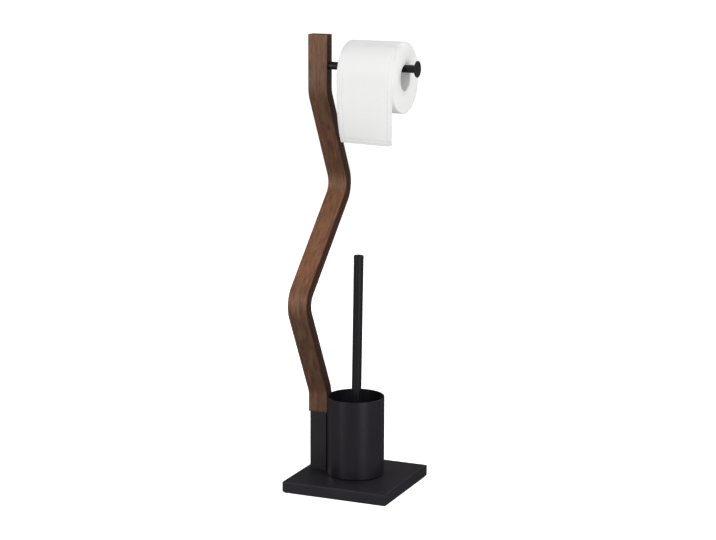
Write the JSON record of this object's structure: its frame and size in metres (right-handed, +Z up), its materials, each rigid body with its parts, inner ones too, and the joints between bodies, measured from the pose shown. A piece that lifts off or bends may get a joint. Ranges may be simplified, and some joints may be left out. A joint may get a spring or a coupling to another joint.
{
  "type": "toilet roll and brush stand",
  "caption": "Free-standing toilet roll and brush stand: bent dark wood post on a weighted square black base, plain arm with a hanging roll, and a round cup with a lift-out brush.",
  "frame": {"origin": "centre of the base's footprint, on the floor, at the underside of the anti-slip pad", "axes": "+X to the right along the roll's arm, +Y to the back, +Z up"},
  "size_m": [0.2051, 0.191, 0.7755],
  "materials": {
    "black_steel": "satin black powder coat on steel",
    "cup_steel": "satin black powder coat on a drawn steel cup",
    "iron": "bare cast iron slab",
    "pad_rubber": "matt black anti-slip rubber",
    "plain_steel": "bright zinc-plated steel",
    "brass": "turned brass",
    "walnut": "oiled dark walnut with the grain along the post",
    "cardboard": "grey wound board",
    "tissue": "soft white embossed tissue",
    "head_plastic": "matt black moulded plastic",
    "nylon": "white nylon bristles"
  },
  "bodies": {
    "stand": {"base_cover": "black_steel", "base_weight": "iron", "base_pad": "pad_rubber", "post_sleeve": "black_steel", "sleeve_plug": "plain_steel", "post_bolts": "plain_steel", "post_washers": "plain_steel", "wood_post": "walnut", "tenon_screws": "black_steel", "arm_insert": "brass", "arm_stud": "plain_steel", "roll_arm": "black_steel", "arm_end_disc": "black_steel", "cup_shell": "cup_steel", "cup_stud": "plain_steel", "cup_washer": "plain_steel", "cup_nut": "plain_steel"},
    "loose_sheet": {"roll_tail": "tissue"},
    "roll": {"roll_core": "cardboard", "roll_paper": "tissue"},
    "brush": {"handle_tube": "black_steel", "handle_cap": "black_steel", "handle_stud": "plain_steel", "brush_head": "head_plastic", "bristles": "nylon"}
  },
  "joints": [
    {"name": "roll_slide", "type": "slide", "parent": "stand", "child": "loose_sheet", "axis": [1, 0, 0], "range_m": [-0.038, 0.0195]},
    {"name": "roll_turn", "type": "hinge", "parent": "loose_sheet", "child": "roll", "pos_m": [0.03785, 0, 0.70855], "axis": [1, 0, 0], "continuous": true},
    {"name": "brush_lift", "type": "slide", "parent": "stand", "child": "brush", "axis": [0, 0, 1], "range_m": [0, 0.15]}
  ]
}
